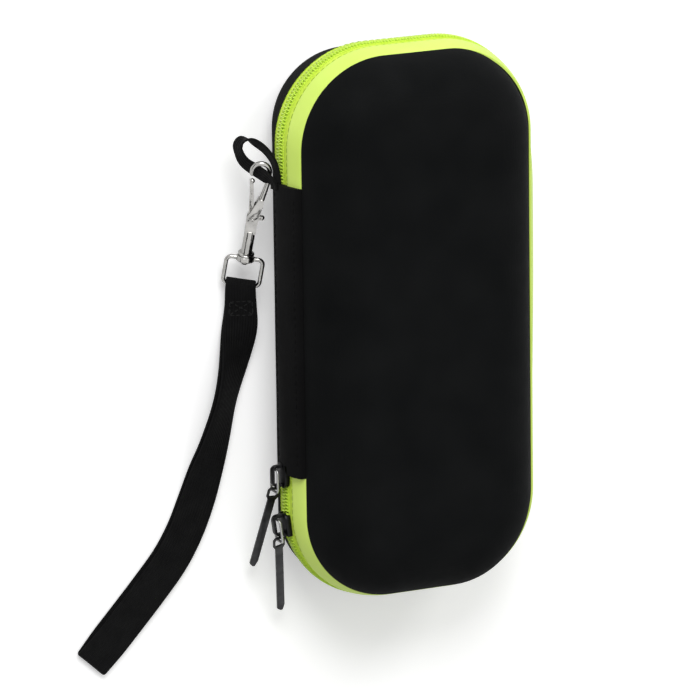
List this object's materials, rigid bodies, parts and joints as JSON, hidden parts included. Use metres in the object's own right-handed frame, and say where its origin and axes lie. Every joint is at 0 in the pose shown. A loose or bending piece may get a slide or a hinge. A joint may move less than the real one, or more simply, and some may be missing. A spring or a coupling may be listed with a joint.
{
  "type": "electric shaver hard case",
  "caption": "Moulded zip case with a domed front half, bright edge band, fabric spine hinge, twin zip pullers and a snap-hook wrist strap.",
  "frame": {"origin": "centre of the flat back face that the case lies on", "axes": "+X to the right away from the spine, +Y along the case towards the hang loop's end, +Z out of the front face"},
  "size_m": [0.1868, 0.2521, 0.058],
  "materials": {
    "shell_fabric": "matte woven",
    "zip_lime": "woven zip tape",
    "zip_teeth": "moulded",
    "edge_band": "smooth coated",
    "webbing": "ribbed webbing",
    "lining": "brushed lining",
    "mesh": "knitted mesh",
    "elastic": "elastic webbing",
    "gunmetal": "dark satin plate",
    "chrome": "bright plate"
  },
  "bodies": {
    "base": {"back_shell": "shell_fabric", "back_lining": "lining", "back_tape": "zip_lime", "back_teeth": "zip_teeth", "spine": "shell_fabric", "hang_loop": "webbing", "retaining_band": "elastic"},
    "lid": {"front_shell": "shell_fabric", "front_lining": "lining", "front_trim": "edge_band", "front_tape": "zip_lime", "front_teeth": "zip_teeth", "mesh_pocket": "mesh", "pocket_hem": "elastic"},
    "slider_a": {"slider_a": "gunmetal"},
    "link_a": {"link_a": "gunmetal"},
    "tab_a": {"tab_a": "gunmetal"},
    "slider_b": {"slider_b": "gunmetal"},
    "link_b": {"link_b": "gunmetal"},
    "tab_b": {"tab_b": "gunmetal"},
    "hook": {"hook_body": "chrome", "gate_pin": "chrome", "gate_spring": "chrome", "swivel_rivet": "chrome"},
    "gate": {"gate_lever": "chrome"},
    "bail": {"bail": "chrome"},
    "strap": {"wrist_strap": "webbing"}
  },
  "joints": [
    {"name": "lid_hinge", "type": "hinge", "parent": "base", "child": "lid", "pos_m": [-0.0529, 0, 0.027], "axis": [0, -1, 0], "range_deg": [0, 100], "deforming": ["front_tape", "front_teeth", "spine"]},
    {"name": "slider_a_run", "type": "slide", "parent": "base", "child": "slider_a", "axis": [0, -1, 0], "range_m": [0, 0.005], "deforming": ["front_teeth", "back_teeth"]},
    {"name": "link_a_swing", "type": "hinge", "parent": "slider_a", "child": "link_a", "pos_m": [-0.05685, -0.0564, 0.027], "axis": [0, 0, 1], "range_deg": [-100, 0]},
    {"name": "tab_a_swing", "type": "hinge", "parent": "link_a", "child": "tab_a", "pos_m": [-0.05685, -0.0656, 0.02485], "axis": [0, 0, 1], "range_deg": [-40, 0]},
    {"name": "slider_b_run", "type": "hinge", "parent": "base", "child": "slider_b", "pos_m": [-0.014, -0.0735, 0.027], "axis": [0, 0, 1], "range_deg": [0, 72], "deforming": ["front_teeth", "back_teeth"]},
    {"name": "link_b_swing", "type": "hinge", "parent": "slider_b", "child": "link_b", "pos_m": [-0.05679, -0.07689, 0.027], "axis": [0, 0, 1], "range_deg": [-100, 0]},
    {"name": "tab_b_swing", "type": "hinge", "parent": "link_b", "child": "tab_b", "pos_m": [-0.05551, -0.086, 0.026], "axis": [0, 0, 1], "range_deg": [-40, 0]},
    {"name": "hook_swing", "type": "hinge", "parent": "base", "child": "hook", "pos_m": [-0.05914, 0.06442, 0.02299], "axis": [0.9132, -0.1693, 0.3706], "range_deg": [-50, 0], "deforming": ["hang_loop"]},
    {"name": "gate_press", "type": "hinge", "parent": "hook", "child": "gate", "pos_m": [-0.06004, 0.04412, 0.01595], "axis": [0.4052, 0.2837, -0.8691], "range_deg": [0, 10], "stiffness_Nm_per_rad": 0.02, "springref_deg": -11.46},
    {"name": "bail_swivel", "type": "hinge", "parent": "hook", "child": "bail", "pos_m": [-0.0608, 0.0269, 0.00996], "axis": [-0.0419, -0.9438, -0.3277], "range_deg": [-30, 0]},
    {"name": "strap_swing", "type": "hinge", "parent": "bail", "child": "strap", "pos_m": [-0.06132, 0.01538, 0.00597], "axis": [0.9132, -0.1693, 0.3706], "range_deg": [-60, 0]}
  ]
}
